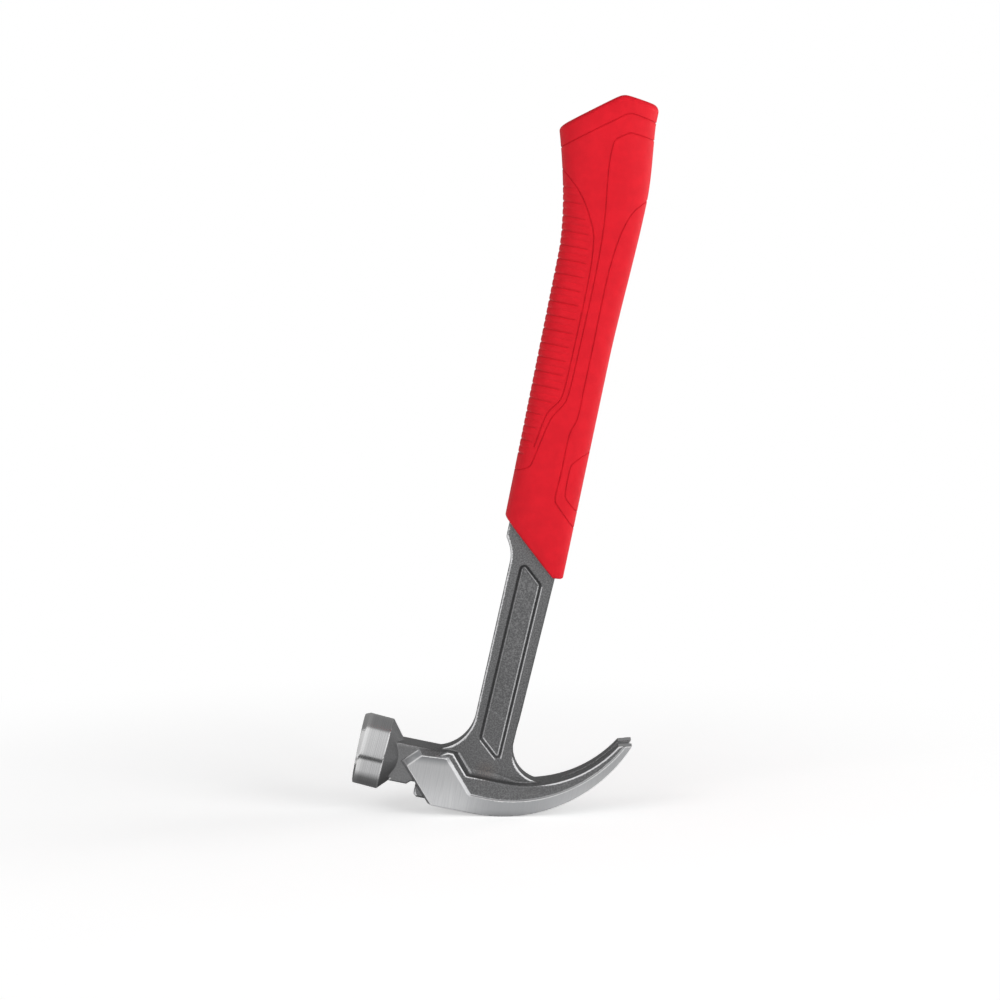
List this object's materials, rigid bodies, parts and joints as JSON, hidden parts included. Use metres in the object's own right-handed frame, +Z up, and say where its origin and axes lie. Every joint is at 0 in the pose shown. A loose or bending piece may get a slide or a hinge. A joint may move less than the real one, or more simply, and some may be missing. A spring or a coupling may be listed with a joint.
{
  "type": "curved claw hammer",
  "caption": "One-piece forged steel claw hammer with a belled striking poll, curved nail-pulling claw, fluted shank and a red over-moulded grip.",
  "frame": {"origin": "on the plane that the crown of the head stands on, under the middle of the bounding box", "axes": "+Z up along the handle from the crown to the butt, +X towards the claw tips with the striking face at -X, Y across the head"},
  "size_m": [0.1298, 0.0348, 0.3523],
  "materials": {
    "forged_steel": "matte blasted forging with ground cheeks and claw band",
    "magnet_nickel": "nickel plated",
    "core_plastic": "moulded, hidden",
    "red_rubber": "matte, ribbed"
  },
  "bodies": {
    "root": {"forged_body": "forged_steel", "nail_magnet": "magnet_nickel", "grip_core": "core_plastic", "grip_sleeve": "red_rubber"}
  },
  "joints": []
}
